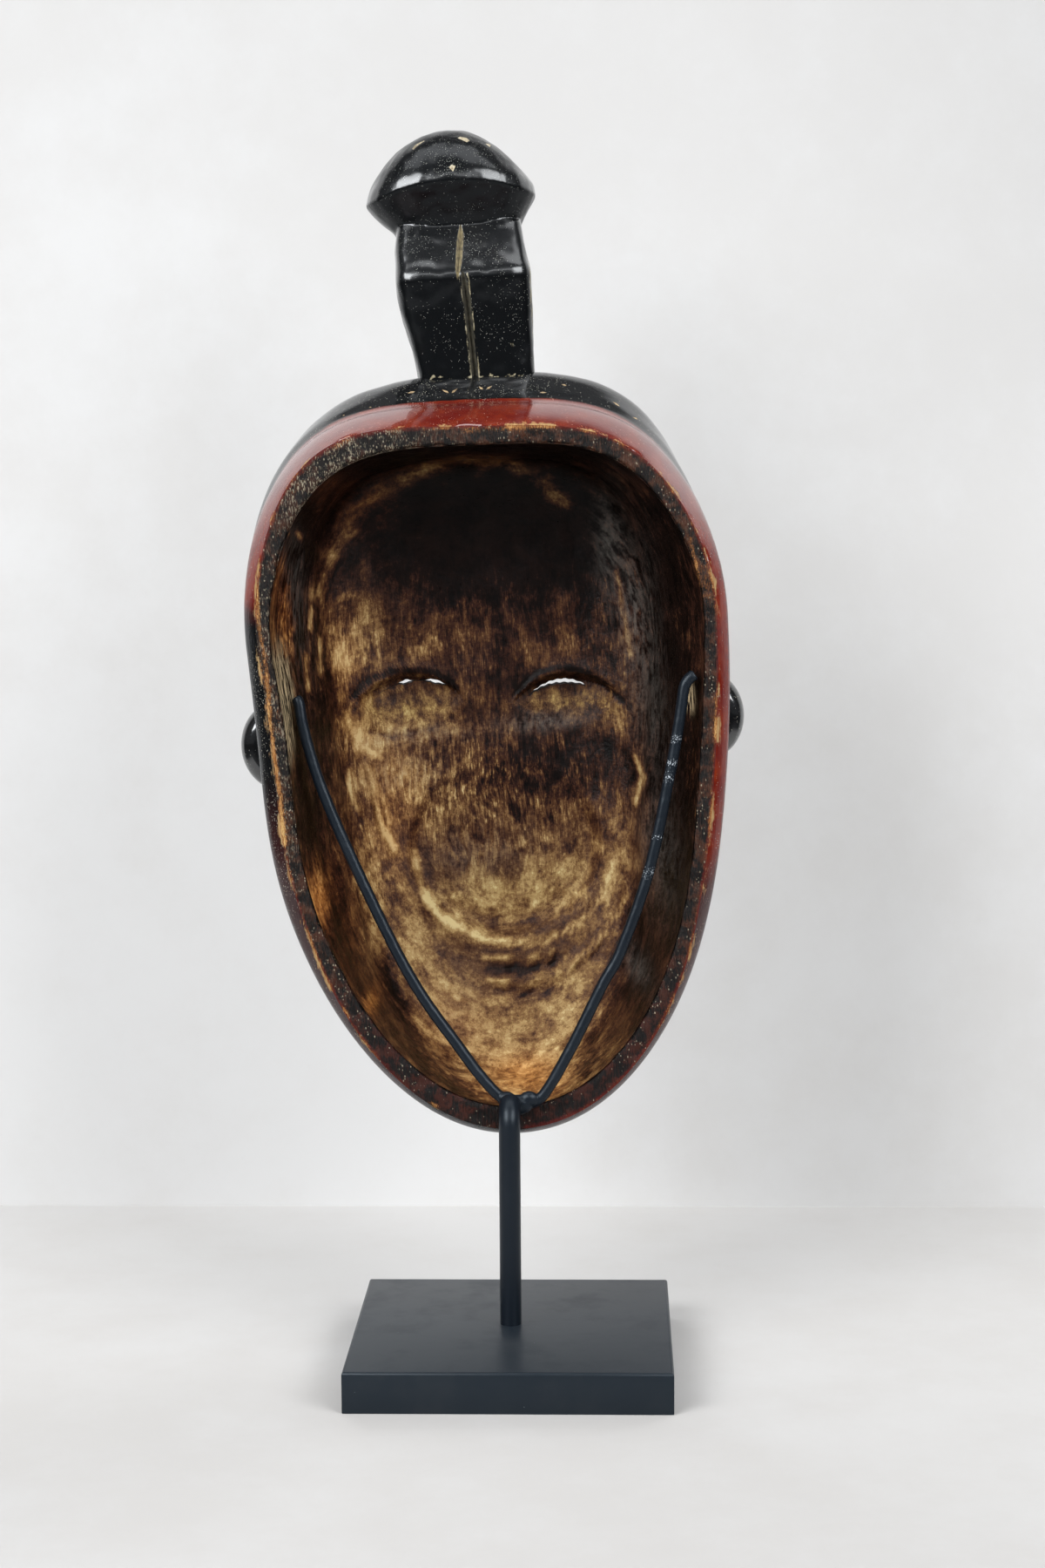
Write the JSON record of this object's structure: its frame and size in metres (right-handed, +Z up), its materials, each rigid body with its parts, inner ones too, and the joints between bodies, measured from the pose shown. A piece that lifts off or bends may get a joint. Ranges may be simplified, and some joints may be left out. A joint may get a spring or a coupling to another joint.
{
  "type": "carved wooden face mask with a crown figure, on a display stand",
  "caption": "Hollow carved wooden face mask with ears, eye slits and a small bust on its crown, held from behind by a wire cradle on a round post and square base.",
  "frame": {"origin": "centre of the underside of the square base, on the surface the stand rests on", "axes": "+Z up along the post and the mask's height, the mask's face looks along -Y, its open hollow and the cradle are on the +Y side, +X is the mask's own left"},
  "size_m": [0.2286, 0.1935, 0.549],
  "materials": {
    "stand_board": "square board painted satin black, with softened top edges and a few small dents",
    "stand_metal": "bent round steel bar and wire painted satin black, with a few small bumps in the paint",
    "mask_wood": "glossy black lacquer outside with a dark red band round the rim, worn to tan wood at the edges; the hollow is brown, black and tan streaked patina over bare carved wood"
  },
  "bodies": {
    "root": {"base": "stand_board", "post": "stand_metal", "cradle": "stand_metal", "mask": "mask_wood"}
  },
  "joints": []
}
